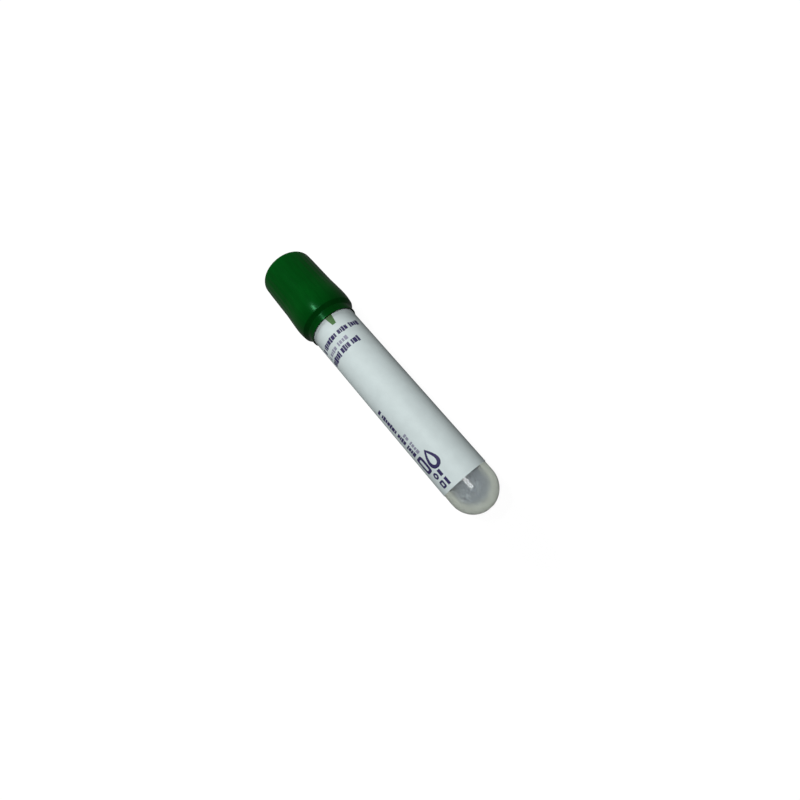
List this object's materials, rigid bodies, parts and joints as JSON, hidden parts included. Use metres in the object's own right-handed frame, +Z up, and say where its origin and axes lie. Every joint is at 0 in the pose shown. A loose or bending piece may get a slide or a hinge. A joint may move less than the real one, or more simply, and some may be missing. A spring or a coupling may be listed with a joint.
{
  "type": "blood collection tube",
  "caption": "Round-bottomed plastic blood collection tube, lying, with a green push-on closure, rubber stopper, wrap label and separator gel.",
  "frame": {"origin": "on the table, at the middle of the object's footprint", "axes": "+Z up, X along the lying tube with the closure towards -X and the round bottom towards +X; the tube's axis leans 1.82 degrees up towards the closure, in the XZ plane"},
  "size_m": [0.0852, 0.0164, 0.0165],
  "materials": {
    "clear_pet": "clear, glossy, moulded",
    "gel": "translucent, soft, wet",
    "label_paper": "coated, semi-matt, printed",
    "stopper_rubber": "matt, moulded",
    "shield_plastic": "satin, moulded"
  },
  "bodies": {
    "tube": {"tube": "clear_pet", "separator_gel": "gel", "label": "label_paper"},
    "stopper": {"stopper": "stopper_rubber"},
    "shield": {"closure_shield": "shield_plastic"}
  },
  "joints": [
    {"name": "closure_pull", "type": "slide", "parent": "tube", "child": "stopper", "axis": [-0.9995, 0, 0.0318], "range_m": [0, 0.018]},
    {"name": "shield_twist", "type": "hinge", "parent": "stopper", "child": "shield", "pos_m": [-0.03738, 0, 0.00866], "axis": [-0.9995, 0, 0.0318], "continuous": true}
  ]
}
